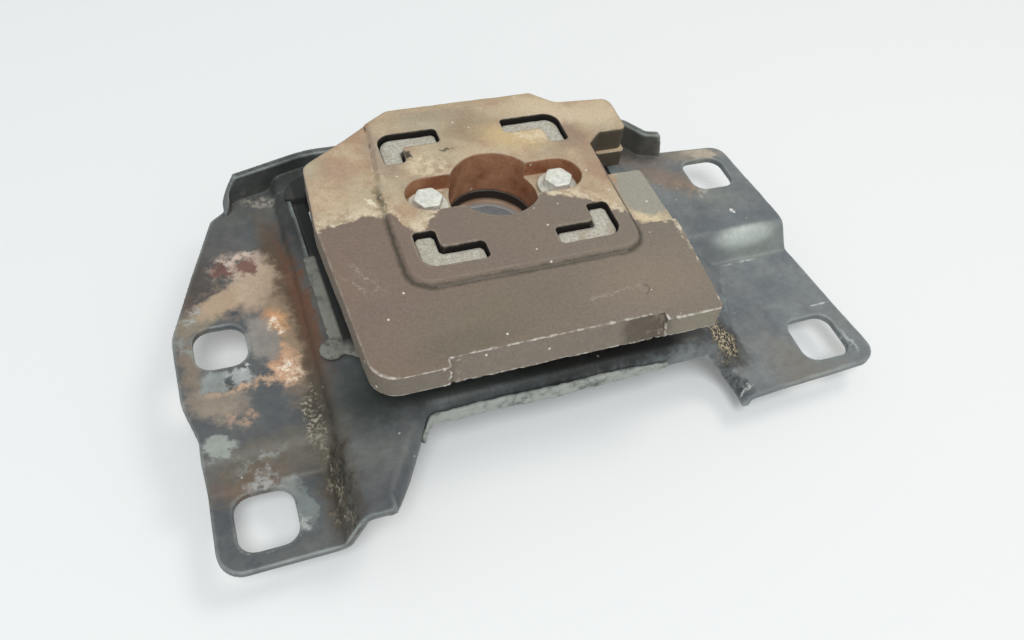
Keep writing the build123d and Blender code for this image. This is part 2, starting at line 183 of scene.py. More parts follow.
bracket = worn_copy("mounting_bracket", 0.85, 2, crisp=True)
waver(bracket, 22, 0.5)
waver(bracket, 3.5, 0.07)


def stain(made, place, under, colour, centre, size, turn=0, edge=0.4, strength=1.0, broken=None):
    """Lays a patch of colour over the colour under it, and gives the new colour.

    The patch is an oval with its centre and half sizes in mm. Its outline is as ragged as place, and broken
    is a pattern that lets the colour under it through."""
    oval = add(
        made,
        "Mapping",
        {
            "Vector": place,
            "Location": (centre[0] * MM, centre[1] * MM, 0),
            "Rotation": (0, 0, radians(turn)),
            "Scale": (size[0] * MM, size[1] * MM, 1),
        },
        vector_type="TEXTURE",
    )
    flat = add(made, "VectorMath", {0: oval.outputs[0], 1: (1, 1, 0)}, operation="MULTIPLY")
    far = add(made, "VectorMath", {0: flat.outputs[0]}, operation="LENGTH")
    cover = ramp(made, far.outputs["Value"], 1 + edge, 1 - edge, high=strength, interpolation_type="SMOOTHSTEP")
    if broken is not None:
        cover = combine(made, "MULTIPLY", cover, broken)
    return mix(made, cover, under, tint(colour))


# Electro-coat on pressed steel, dipped all over: an even satin blue-grey film with a faint orange peel. Dirt on it
# is matt and tan to brown, chips are paler than the coat, and grit sticks to it in the corners.
e_coat, e_coat_shader = finish("electro_coat_on_steel", roughness=0.5)
where = add(e_coat, "TexCoord").outputs["Object"]
ragged_6mm = add(e_coat, "TexNoise", {"Vector": where, "Scale": 160.0, "Detail": 8.0, "Roughness": 0.68})
shift = add(e_coat, "VectorMath", {0: ragged_6mm.outputs["Color"], 1: (0.5, 0.5, 0.5)}, operation="SUBTRACT")
shift = add(e_coat, "VectorMath", {0: shift.outputs[0], "Scale": 15 * MM}, operation="SCALE")
ragged = add(e_coat, "VectorMath", {0: where, 1: shift.outputs[0]}, operation="ADD").outputs[0]
flakes_4mm = add(e_coat, "TexNoise", {"Vector": where, "Scale": 260.0, "Detail": 8.0, "Roughness": 0.72})
flakes = ramp(e_coat, flakes_4mm.outputs["Fac"], 0.44, 0.54)
grains_1mm = add(e_coat, "TexNoise", {"Vector": where, "Scale": 800.0, "Detail": 3.0, "Roughness": 0.6})
grains = ramp(e_coat, grains_1mm.outputs["Fac"], 0.48, 0.56)
grit = combine(e_coat, "MULTIPLY", grains, flakes)
cloud_25mm = add(e_coat, "TexNoise", {"Vector": where, "Scale": 40.0, "Detail": 6.0, "Roughness": 0.62})
cloud = ramp(e_coat, cloud_25mm.outputs["Fac"], 0.38, 0.62)
# The coat is darker on the left wing and paler on the right, in part painted light and shade; brown smears cross all
# of it
side = add(e_coat, "SeparateXYZ", {"Vector": where})
rightness = ramp(e_coat, side.outputs["X"], -0.07, 0.08)
shaded_left_coat = mix(e_coat, cloud, tint("#4E5257"), tint("#656866"))
lit_right_coat = mix(e_coat, cloud, tint("#646C72"), tint("#7D8283"))
colour = mix(e_coat, rightness, shaded_left_coat, lit_right_coat)
smear_60mm = add(e_coat, "TexNoise", {"Vector": where, "Scale": 17.0, "Detail": 6.0, "Roughness": 0.6})
smear = ramp(e_coat, smear_60mm.outputs["Fac"], 0.45, 0.7, high=0.3)
colour = mix(e_coat, smear, colour, tint("#5D574D"))
for shade, centre, size, turn, edge, strength, pattern in (
    # Left wing, brown film: down the step's wall, over the joggle and at the wing's outer edge
    ("#62503F", (-81.5, -14), (6.8, 46), 4, 0.4, 0.95, None),
    ("#6E4C3B", (-78.5, -12), (2.6, 30), 4, 0.6, 0.8, None),
    ("#4E4538", (-81, -78), (5.5, 34), 2, 0.5, 0.9, None),
    ("#6B665A", (-100, -75), (24, 7), 6, 0.7, 0.85, None),
    ("#77604F", (-108, -79), (12, 3), 8, 0.8, 0.6, None),
    ("#5F5048", (-119, 0), (6, 18), 15, 0.6, 0.8, None),
    ("#4C4641", (-113, 8), (7, 17), 18, 0.6, 0.8, None),
    ("#5C544E", (-108, 16), (14, 12), 20, 0.8, 0.7, cloud),
    # A darker patch on the pan's rear left corner
    ("#3D413D", (-76, 57), (24, 10), 8, 0.5, 0.9, None),
    # Tan dirt: a slanted band from the edge to the step, and along its foot
    ("#8C8474", (-114, -12.5), (13, 5.0), 22, 0.4, 0.9, None),
    ("#BAA48B", (-104, -5.6), (13, 4.6), 26, 0.35, 0.98, None),
    ("#C6B098", (-93.0, 0), (7.4, 13), -14, 0.35, 0.98, None),
    ("#9F8A72", (-87.5, -28), (5.6, 23), 2, 0.45, 0.95, None),
    ("#9A8470", (-98, -4), (16, 9), 24, 0.5, 0.5, flakes),
    ("#978B7D", (-113, -51), (9, 6.5), -20, 0.45, 0.9, None),
    ("#A78F7C", (-106, -58), (4.2, 3.2), 0, 0.5, 0.9, flakes),
    ("#B89C84", (-99, -46.0), (14, 1.7), 4, 0.6, 1.0, flakes),
    ("#8E7F6E", (-119.5, -33), (3.5, 16), 0, 0.6, 0.7, None),
    # Golden crust right of the window
    ("#D2A178", (-89.4, -21), (4.6, 6.2), 10, 0.4, 1.0, None),
    ("#F8E6CE", (-88.2, -23.5), (2.6, 3.4), 10, 0.5, 1.0, flakes),
    ("#B98B66", (-92.2, -17.5), (2.4, 3.0), 0, 0.5, 1.0, flakes),
    ("#D3AB8B", (-88.4, -40), (4.8, 8.2), 0, 0.4, 1.0, None),
    ("#F6E6D0", (-87.4, -42.5), (3.2, 5.2), 0, 0.5, 1.0, flakes),
    ("#A47A62", (-91.0, -36), (2.6, 3.4), 0, 0.5, 0.9, flakes),
    # Two reddish blotches behind it, with pale crust between them
    ("#B5A193", (-98.5, 10), (10, 7.0), 5, 0.35, 0.95, flakes),
    ("#C9B6A8", (-98, 14.5), (8, 1.6), 8, 0.5, 0.9, flakes),
    ("#70504A", (-103.5, 9), (4.0, 3.6), 0, 0.35, 0.95, None),
    ("#785850", (-94.2, 8.5), (3.4, 3.8), 0, 0.35, 0.95, None),
    # A small crust near the rear rim, and a grey patch beside the window
    ("#9B958B", (-83, 42), (6, 2.6), -15, 0.6, 0.95, flakes),
    ("#8F8B84", (-94.3, -27), (5.4, 10), 0, 0.35, 0.95, None),
    # Painted shade on the pan, under the plate's front and beside it
    ("#2F342F", (-22, -67), (52, 8), 0, 0.6, 0.85, None),
    ("#343A38", (-67, -62), (8, 15), 8, 0.8, 0.7, None),
    ("#1D1F1C", (28, -70), (48, 5.5), 3, 0.6, 0.95, None),
    ("#2B2E2A", (-70, 25), (8, 26), 0, 0.5, 0.85, None),
    # Gritty sand caught on the step's wall
    ("#A5A08F", (-83.5, -62), (3.4, 10), -6, 0.5, 0.95, grit),
    ("#97917F", (-80.5, -88), (2.6, 20), 4, 0.6, 0.9, grit),
    ("#2B2A25", (-78.5, -92), (1.6, 22), 3, 0.6, 0.9, flakes),
    # Right wing: brown stain by the window, dust along the rear edge, dark film on the rim, grit at the step's foot
    ("#85766A", (92, 18), (14, 7), -38, 0.5, 0.9, None),
    ("#978271", (99, 11), (6.5, 3.6), -40, 0.5, 0.9, flakes),
    ("#75665A", (80, 38), (17, 9), -20, 0.8, 0.8, None),
    ("#8E867A", (108, 33), (19, 4.0), -8, 0.6, 0.9, None),
    ("#B9AC9A", (115, 32), (7, 2.2), -8, 0.6, 0.9, None),
    ("#474843", (87, 41), (12, 8), -10, 0.6, 0.9, None),
    # Below the plate's right front corner: a dark crust, darkened further as painted shade from the plate
    ("#2A2824", (75.5, -68), (8.5, 11), 18, 0.5, 0.95, None),
    ("#B9AA8C", (74, -68), (6.5, 7), 20, 0.5, 1.0, grains),
    ("#232321", (74, -82), (1.6, 8), 12, 0.5, 0.7, flakes),
    ("#7C766C", (101, -84), (8, 14), 10, 0.8, 0.6, None),
    ("#6E6A60", (112, -89), (22, 2.6), 2, 0.7, 0.6, flakes),
):
    colour = stain(e_coat, ragged, colour, shade, centre, size, turn, edge, strength, pattern)
for shade, centre, size, turn, edge, strength, pattern in (
    # Chips round the left windows
    ("#8F9592", (-112.5, -41.2), (5.2, 3.6), 10, 0.35, 0.95, None),
    ("#A9ADAB", (-104.2, -41.5), (5.4, 3.0), -22, 0.35, 0.95, None),
    ("#BDBEBB", (-102.5, -39.5), (2.6, 1.1), -30, 0.5, 0.9, flakes),
    ("#3D4648", (-108.5, -42.6), (2.2, 1.8), 0, 0.4, 0.9, None),
    ("#9AA09A", (-115.0, -67.5), (5.4, 4.0), -30, 0.3, 0.95, None),
    ("#8D8F8A", (-102.5, -74.0), (7, 1.2), 8, 0.7, 0.9, flakes),
    ("#9A9995", (-103.5, -79.5), (5.5, 2.4), 20, 0.4, 0.9, flakes),
    ("#8A8D89", (-96, -82.5), (3.4, 3.6), 25, 0.4, 0.9, None),
    ("#7A8381", (-92.6, -91), (3.0, 7.5), 6, 0.35, 0.9, None),
    ("#A9ABA8", (-94.4, -97.5), (1.6, 3.6), -20, 0.5, 0.9, flakes),
    ("#8E948F", (-107, -101.8), (6, 1.2), 6, 0.6, 0.9, flakes),
    ("#8C918E", (-119.8, -24), (2.4, 5), 15, 0.5, 0.8, flakes),
    # A pale crust behind the left window
    ("#A8ADAA", (-117, -10.5), (3.4, 1.6), 50, 0.5, 0.9, flakes),
    # Right wing: a grey film, a scuff and a nick by the rear window, a line by the front one, a chip and a streak
    ("#80847F", (108, 3), (9, 5), -20, 0.8, 0.6, None),
    ("#A5A8A0", (103.5, 7), (2.4, 4.0), -20, 0.45, 0.6, flakes),
    ("#E4E4DE", (111, -6.4), (0.9, 0.9), 0, 0.3, 1.0, None),
    ("#A6AEAB", (129.5, -78), (0.8, 6.5), 4, 0.4, 0.95, None),
    ("#C9CCC6", (76, -88), (1.2, 1.0), 0, 0.5, 0.9, flakes),
    ("#8E9592", (88, -45), (1.2, 12), -24, 0.6, 0.5, flakes),
):
    colour = stain(e_coat, ragged, colour, shade, centre, size, turn, edge, strength, pattern)
# With smooth outlines, the right joggle's grey film and bright smear, partly bare metal and partly painted highlight
sheen_and_wear_turn = 1.5
for shade, centre, size, edge, strength, pattern in (
    ("#7F8681", (116, -22.5), (17, 5.8), 0.35, 0.85, None),
    ("#AEB6B0", (110.5, -19.6), (13, 3.2), 0.5, 0.95, None),
    ("#D2D8D3", (107.5, -19.2), (9.5, 2.0), 0.6, 0.85, cloud),
    # A painted highlight along the joggle's lower bend, and a thin scratch in front of it
    ("#A9AFAA", (106, -28.3), (7, 0.7), 0.5, 0.9, flakes),
    ("#C5CAC8", (127.5, -58.2), (6.0, 0.35), 0.6, 0.85, flakes),
):
    colour = stain(e_coat, where, colour, shade, centre, size, sheen_and_wear_turn, edge, strength, pattern)
# Edges are rubbed pale in places, and the inner corners are darker
edge_sharpness = add(e_coat, "NewGeometry").outputs["Pointiness"]
rubbed = ramp(e_coat, edge_sharpness, 0.515, 0.56, high=0.9)
wear = ramp(e_coat, cloud_25mm.outputs["Fac"], 0.38, 0.60, low=0.25)
rubbed = combine(e_coat, "MULTIPLY", rubbed, wear)
colour = mix(e_coat, rubbed, colour, tint("#9AA29F"))
hollow = ramp(e_coat, edge_sharpness, 0.47, 0.42, high=0.55)
colour = mix(e_coat, hollow, colour, tint("#33302A"))
# Pale grains of dust, half a millimetre across and a centimetre apart, and a fine mottling of the whole film
dust_10mm = add(e_coat, "TexVoronoi", {"Vector": where, "Scale": 120.0})
dust_here = ramp(e_coat, dust_10mm.outputs["Distance"], 0.06, 0.03)
colour = mix(e_coat, dust_here, colour, tint("#A5A9A4"))
mottle = ramp(e_coat, flakes_4mm.outputs["Fac"], 0.3, 0.7, 0.82, 1.16)
colour = add(e_coat, "VectorMath", {0: colour, "Scale": mottle}, operation="SCALE").outputs[0]
# Dirt is warm in colour and the coat is cool, so the warmer the colour, the rougher and thicker the layer
warmth = add(e_coat, "SeparateColor", {"Color": colour})
dirty = combine(e_coat, "SUBTRACT", warmth.outputs["Red"], warmth.outputs["Blue"])
dirty = ramp(e_coat, dirty, 0.0, 0.10)
dulled = ramp(e_coat, dirty, 0.0, 1.0, 0.45, 0.88)
peel_2mm = add(e_coat, "TexNoise", {"Vector": where, "Scale": 500.0, "Detail": 2.0})
# The crust is thick on the left wing only, where the dirt has baked on
crusted = ramp(e_coat, side.outputs["X"], -0.082, -0.074, 2.2, 0.35)
relief = combine(e_coat, "MULTIPLY", crusted, flakes_4mm.outputs["Fac"])
relief = combine(e_coat, "ADD", relief, peel_2mm.outputs["Fac"])
bumps = add(e_coat, "Bump", {"Height": relief, "Distance": 0.15 * MM, "Strength": 0.7})
e_coat.node_tree.links.new(colour, e_coat_shader.inputs["Base Color"])
e_coat.node_tree.links.new(dulled, e_coat_shader.inputs["Roughness"])
e_coat.node_tree.links.new(bumps.outputs[0], e_coat_shader.inputs["Normal"])
bracket.data.materials.append(e_coat)
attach(bracket, "root")
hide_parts("mounting_bracket")

# Rubber: a ring moulded to the pan's opening with an arm to each side of the core, and a thin lip bonded on the
# front rim. Black natural rubber, moulded in one shot, now grey with dust on every upper face.
ring = worn_copy("rubber_body", 0.9, 4)
waver(ring, 9, 0.4)

# The lip starts on the slanted rim, goes round its corner and along the front, in points of x, y, low z and high z
lip_line = [
    (-50.4, -83.4, 23.6, 26.2),
    (-47.4, -78.2, 22.9, 27.4),
    (-45.8, -76.6, 22.6, 28.0),
    (-43.6, -76.0, 22.5, 28.3),
    (-30, -76.0, 22.4, 28.6),
    (-12, -76.1, 22.4, 28.7),
    (0, -76.3, 21.8, 28.7),
    (4, -76.3, 21.6, 28.6),
    (9, -76.2, 22.5, 28.6),
    (26, -76.0, 22.6, 28.4),
    (45, -75.9, 23.6, 26.6),
]
bpy.ops.object.select_all(action="DESELECT")
bpy.ops.mesh.primitive_plane_add(size=1)
lip = bpy.context.object
lip.name = "rubber_lip"
for vertex, point in zip(lip.data.vertices, (lip_line[0], lip_line[0], lip_line[1], lip_line[1])):
    vertex.co = (point[0] * MM, point[1] * MM, point[2 + vertex.index % 2] * MM)
for edge in lip.data.edges:
    edge.select = set(edge.vertices) == {2, 3}
for vertex in lip.data.vertices:
    vertex.select = vertex.index > 1
for face in lip.data.polygons:
    face.select = False
bpy.ops.object.mode_set(mode="EDIT")
bpy.ops.mesh.select_mode(type="EDGE")
for near, far in zip(lip_line[1:], lip_line[2:]):
    step = ((far[0] - near[0]) * MM, (far[1] - near[1]) * MM, 0)
    bpy.ops.mesh.extrude_region_move(TRANSFORM_OT_translate={"value": step})
bpy.ops.mesh.select_all(action="SELECT")
bpy.ops.mesh.normals_make_consistent(inside=False)
bpy.ops.object.mode_set(mode="OBJECT")
for vertex in lip.data.vertices:
    point = min(lip_line, key=lambda p: abs(p[0] * MM - vertex.co.x))
    vertex.co.z = (point[2] if vertex.co.z < 25 * MM else point[3]) * MM
finish_with(lip, "SUBSURF", subdivision_type="SIMPLE", levels=3, render_levels=3)
finish_with(lip, "SOLIDIFY", thickness=1.4 * MM, offset=0)
finish_with(lip, "REMESH", mode="VOXEL", voxel_size=0.4 * MM)
waver(lip, 5, 1.1)
finish_with(lip, "SMOOTH", factor=0.5, iterations=3)
waver(lip, 1.2, 0.25)
bpy.ops.object.shade_smooth()

dusty_rubber, dusty_rubber_shader = finish("dusty_black_rubber", roughness=0.85)
where = add(dusty_rubber, "TexCoord").outputs["Object"]
facing = add(dusty_rubber, "NewGeometry")
up = add(dusty_rubber, "SeparateXYZ", {"Vector": facing.outputs["Normal"]})
place = add(dusty_rubber, "SeparateXYZ", {"Vector": where})
# Dust lies on the upper faces and on the lip's outside; behind the middle it fades away as painted shade
settled = ramp(dusty_rubber, up.outputs["Z"], -0.5, 0.5)
outside = ramp(dusty_rubber, place.outputs["Y"], -70 * MM, -74 * MM)
settled = combine(dusty_rubber, "MAXIMUM", settled, outside)
patchy_5mm = add(dusty_rubber, "TexNoise", {"Vector": where, "Scale": 180.0, "Detail": 7.0, "Roughness": 0.65})
patchy = ramp(dusty_rubber, patchy_5mm.outputs["Fac"], 0.34, 0.5, low=0.35)
dust = combine(dusty_rubber, "MULTIPLY", settled, patchy)
fade_into_rear_shade = ramp(dusty_rubber, place.outputs["Y"], 8 * MM, 0.0, low=0.12)
dust = combine(dusty_rubber, "MULTIPLY", dust, fade_into_rear_shade)
# The ring's inner side stays black, past a line inside the opening's left edge, which leans by 38.7 mm in a metre
edge_lean = 0.0387
inwards = combine(dusty_rubber, "MULTIPLY_ADD", place.outputs["Y"], edge_lean, place.outputs["X"])
near_edge = ramp(dusty_rubber, inwards, -69.2 * MM, -70.2 * MM)
at_front = ramp(dusty_rubber, place.outputs["Y"], -40 * MM, -44 * MM)
dusty_side = combine(dusty_rubber, "MAXIMUM", near_edge, at_front)
# Keeping the dust off the inner side paints it as the shade under the plate
dust = combine(dusty_rubber, "MULTIPLY", dust, dusty_side)
dust_tone = mix(dusty_rubber, patchy_5mm.outputs["Fac"], tint("#66655E"), tint("#949489"))
lip_tone = mix(dusty_rubber, patchy_5mm.outputs["Fac"], tint("#767A74"), tint("#BABEB7"))
dust_tone = mix(dusty_rubber, outside, dust_tone, lip_tone)
colour = mix(dusty_rubber, dust, tint("#252726"), dust_tone)
grain_1mm = add(dusty_rubber, "TexNoise", {"Vector": where, "Scale": 1000.0, "Detail": 3.0})
bumps = add(dusty_rubber, "Bump", {"Height": grain_1mm.outputs["Fac"], "Distance": 0.12 * MM, "Strength": 0.5})
dusty_rubber.node_tree.links.new(colour, dusty_rubber_shader.inputs["Base Color"])
dusty_rubber.node_tree.links.new(bumps.outputs[0], dusty_rubber_shader.inputs["Normal"])
for piece in (ring, lip):
    piece.data.materials.append(dusty_rubber)
    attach(piece, "root")
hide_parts("rubber_body")
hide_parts("front_strip")

# Core: an aluminium block cast round the middle of the mount, held in the rubber, with four L-shaped lugs
# that stand up in the plate's slots. Sand-grey as cast and dusty, with rust stains round the stud's hole.
core = worn_copy("core", 0.8, 1, crisp=True)
waver(core, 6, 0.3)
cast_alloy, cast_alloy_shader = finish("cast_aluminium", metallic=0.2, roughness=0.65)
where = add(cast_alloy, "TexCoord").outputs["Object"]
place = add(cast_alloy, "SeparateXYZ", {"Vector": where})
sand_1mm = add(cast_alloy, "TexNoise", {"Vector": where, "Scale": 900.0, "Detail": 4.0, "Roughness": 0.75})
sand = ramp(cast_alloy, sand_1mm.outputs["Fac"], 0.35, 0.65)
colour = mix(cast_alloy, sand, tint("#A5A194"), tint("#D3CFC2"))
film_8mm = add(cast_alloy, "TexNoise", {"Vector": where, "Scale": 120.0, "Detail": 6.0, "Roughness": 0.65})
film = ramp(cast_alloy, film_8mm.outputs["Fac"], 0.48, 0.62, high=0.5)
colour = mix(cast_alloy, film, colour, tint("#A08D74"))
# In the stud's hole, the seat is stained with rust and bare beside the sleeve; the wall above it is painted shade
off_axis = add(cast_alloy, "CombineXYZ", {"X": place.outputs["X"], "Y": place.outputs["Y"]})
off_axis = add(cast_alloy, "VectorMath", {0: off_axis.outputs[0]}, operation="LENGTH")
in_hole = ramp(cast_alloy, off_axis.outputs["Value"], 18.6 * MM, 17.9 * MM)
seat_tone = mix(cast_alloy, film_8mm.outputs["Fac"], tint("#886A56"), tint("#BDA48D"))
colour = mix(cast_alloy, in_hole, colour, seat_tone)
near_sleeve = ramp(cast_alloy, off_axis.outputs["Value"], 16.4 * MM, 15.6 * MM, high=0.8)
colour = mix(cast_alloy, near_sleeve, colour, tint("#A3A7A8"))
shaded_wall = ramp(cast_alloy, place.outputs["Z"], 32.6 * MM, 33.4 * MM)
shaded_wall = combine(cast_alloy, "MULTIPLY", shaded_wall, in_hole)
colour = mix(cast_alloy, shaded_wall, colour, tint("#2E251E"))
# Outside the hole, the alloy is painted darker downwards as shade under the plate, and its edges are rubbed bright
below = ramp(cast_alloy, place.outputs["Z"], 51 * MM, 46 * MM, high=0.75)
outer = ramp(cast_alloy, off_axis.outputs["Value"], 18.6 * MM, 20 * MM)
below = combine(cast_alloy, "MULTIPLY", below, outer)
colour = mix(cast_alloy, below, colour, tint("#4C4740"))
bright = add(cast_alloy, "NewGeometry").outputs["Pointiness"]
bright = ramp(cast_alloy, bright, 0.53, 0.6, high=0.6)
colour = mix(cast_alloy, bright, colour, tint("#CFCDC3"))
bumps = add(cast_alloy, "Bump", {"Height": sand_1mm.outputs["Fac"], "Distance": 0.2 * MM, "Strength": 0.7})
cast_alloy.node_tree.links.new(colour, cast_alloy_shader.inputs["Base Color"])
cast_alloy.node_tree.links.new(bumps.outputs[0], cast_alloy_shader.inputs["Normal"])
core.data.materials.append(cast_alloy)
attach(core, "root")
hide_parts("core")

# Centre sleeve: a turned steel tube pressed in the core, for the main stud. Its faced end is bare and bluish,
# and its bore is painted dark as shade.
sleeve = worn_copy("centre_sleeve", 0.5, 2)
turned_steel, turned_steel_shader = finish("turned_steel", metallic=0.55, roughness=0.42)
where = add(turned_steel, "TexCoord").outputs["Object"]
place = add(turned_steel, "SeparateXYZ", {"Vector": where})
off_axis = add(turned_steel, "CombineXYZ", {"X": place.outputs["X"], "Y": place.outputs["Y"]})
off_axis = add(turned_steel, "VectorMath", {0: off_axis.outputs[0]}, operation="LENGTH")
rings = add(
    turned_steel,
    "TexWave",
    {"Vector": where, "Scale": 260.0, "Distortion": 1.5},
    wave_type="RINGS",
    rings_direction="Z",
)
film_4mm = add(turned_steel, "TexNoise", {"Vector": where, "Scale": 250.0, "Detail": 5.0})
steel_tone = mix(turned_steel, film_4mm.outputs["Fac"], tint("#8D949A"), tint("#BFC5C8"))
painted_recess_shade = ramp(turned_steel, off_axis.outputs["Value"], 7.3 * MM, 6.8 * MM)
colour = mix(turned_steel, painted_recess_shade, steel_tone, tint("#24211D"))
bumps = add(turned_steel, "Bump", {"Height": rings.outputs["Fac"], "Distance": 0.03 * MM, "Strength": 0.4})
turned_steel.node_tree.links.new(colour, turned_steel_shader.inputs["Base Color"])
turned_steel.node_tree.links.new(bumps.outputs[0], turned_steel_shader.inputs["Normal"])
sleeve.data.materials.append(turned_steel)
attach(sleeve, "root")
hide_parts("centre_sleeve")

# Inertia plate: grey iron cast in sand, with a raised field round the stud's hole. Brown primer shows in front;
# behind, tan road dirt has dried on it, and the hole's walls have rusted. Its front edge was broken by a scoop.
plate = worn_copy("inertia_plate", 0.7, 1, crisp=True)
waver(plate, 14, 0.5)
waver(plate, 2.5, 0.12)
# The front edge is broken along the scoop, from 3 mm outside its ends, and most of all within 9 mm of them
front_edge = -70
scoop_left = -40
scoop_right = 37
outside_ends = 3
near_ends = 9
broken_edge = plate.vertex_groups.new(name="broken_edge")
for vertex in plate.data.vertices:
    x, y = vertex.co.xy / MM
    if y < front_edge and scoop_left - outside_ends < x < scoop_right + outside_ends:
        nearness = max(0.0, 1 - min(abs(x - scoop_left), abs(x - scoop_right)) / near_ends)
        broken_edge.add([vertex.index], 0.35 + 0.65 * nearness, "REPLACE")
chipping = bpy.data.textures.new("chipping", "CLOUDS")
chipping.noise_scale = 3.2 * MM
chipping.noise_depth = 3
finish_with(
    plate,
    "DISPLACE",
    texture=chipping,
    texture_coords="LOCAL",
    strength=2.4 * MM,
    mid_level=0.6,
    vertex_group="broken_edge",
)
cast_iron, cast_iron_shader = finish("primed_cast_iron", roughness=0.8)
where = add(cast_iron, "TexCoord").outputs["Object"]
place = add(cast_iron, "SeparateXYZ", {"Vector": where})
facing = add(cast_iron, "NewGeometry")
up = add(cast_iron, "SeparateXYZ", {"Vector": facing.outputs["Normal"]})
ragged_5mm = add(cast_iron, "TexNoise", {"Vector": where, "Scale": 220.0, "Detail": 8.0, "Roughness": 0.68})
shift = add(cast_iron, "VectorMath", {0: ragged_5mm.outputs["Color"], 1: (0.5, 0.5, 0.5)}, operation="SUBTRACT")
shift = add(cast_iron, "VectorMath", {0: shift.outputs[0], "Scale": 10 * MM}, operation="SCALE")
ragged = add(cast_iron, "VectorMath", {0: where, 1: shift.outputs[0]}, operation="ADD").outputs[0]
cloud_12mm = add(cast_iron, "TexNoise", {"Vector": where, "Scale": 85.0, "Detail": 7.0, "Roughness": 0.65})
cloud_30mm = add(cast_iron, "TexNoise", {"Vector": where, "Scale": 33.0, "Detail": 4.0})
pits_1mm = add(cast_iron, "TexNoise", {"Vector": where, "Scale": 950.0, "Detail": 4.0, "Roughness": 0.75})
flakes_3mm = add(cast_iron, "TexNoise", {"Vector": where, "Scale": 330.0, "Detail": 8.0, "Roughness": 0.72})
flakes = ramp(cast_iron, flakes_3mm.outputs["Fac"], 0.45, 0.54)
# The dirt's front edge is a wavy line across the plate, from the left side to the shelf. Its curve reaches 70 mm
# to each side of the plate's middle, and 40 mm forward of it.
reach_x = 70
reach_y = 40
across = ramp(cast_iron, place.outputs["X"], -reach_x * MM, reach_x * MM)
tide = add(cast_iron, "FloatCurve", {"Value": across})
points = tide.mapping.curves[0].points
points[0].location = (0.0, 0.78)
points[1].location = (1.0, 0.12)
for x, y in ((-58, -6), (-44, -6), (-35, -18), (-24, -9), (14, -9), (28, -15), (44, -27), (52, -31)):
    points.new((x + reach_x) / (2 * reach_x), (y + reach_y) / reach_y)
tide.mapping.update()
tide_y = ramp(cast_iron, tide.outputs[0], 0.0, 1.0, -reach_y * MM, 0.0)
wobble = combine(cast_iron, "MULTIPLY_ADD", ragged_5mm.outputs["Fac"], 11 * MM, -5.5 * MM)
behind = combine(cast_iron, "SUBTRACT", place.outputs["Y"], tide_y)
behind = combine(cast_iron, "ADD", behind, wobble)
dirty = ramp(cast_iron, behind, -0.6 * MM, 0.6 * MM)
thick = ramp(cast_iron, behind, 9 * MM, 1 * MM, high=0.9)
thick = combine(cast_iron, "MULTIPLY", thick, flakes)
# Primer in front of the line: brown, and greyer to the right
rightness = ramp(cast_iron, place.outputs["X"], -60 * MM, 60 * MM)
primer = mix(cast_iron, cloud_30mm.outputs["Fac"], tint("#84705F"), tint("#7A6B64"))
colour = mix(cast_iron, rightness, primer, tint("#80766A"))
for shade, centre, size, turn, edge, strength, pattern in (
    # Greyer worn primer along the front, a smear of dark oil by it, tan film at the right, and fine scratches
    ("#77705F", (-14, -60), (34, 12), 6, 0.7, 0.6, None),
    ("#6A6456", (-34, -70), (18, 6), 8, 0.7, 0.5, None),
    ("#8C7E6E", (40, -58), (22, 12), 0, 0.8, 0.6, None),
    ("#8B7B70", (-58, -35), (4, 9), 20, 0.7, 0.4, flakes),
    ("#A89C8C", (-57, -35), (0.5, 8), 30, 0.5, 0.6, flakes),
    ("#A89C8C", (-62, -36), (0.4, 6), 36, 0.5, 0.6, flakes),
    ("#A3988A", (24, -61), (12, 0.5), 5, 0.6, 0.7, flakes),
    ("#5A5148", (36, -62), (0.5, 3.2), -25, 0.5, 0.6, flakes),
):
    colour = stain(cast_iron, ragged, colour, shade, centre, size, turn, edge, strength, pattern)
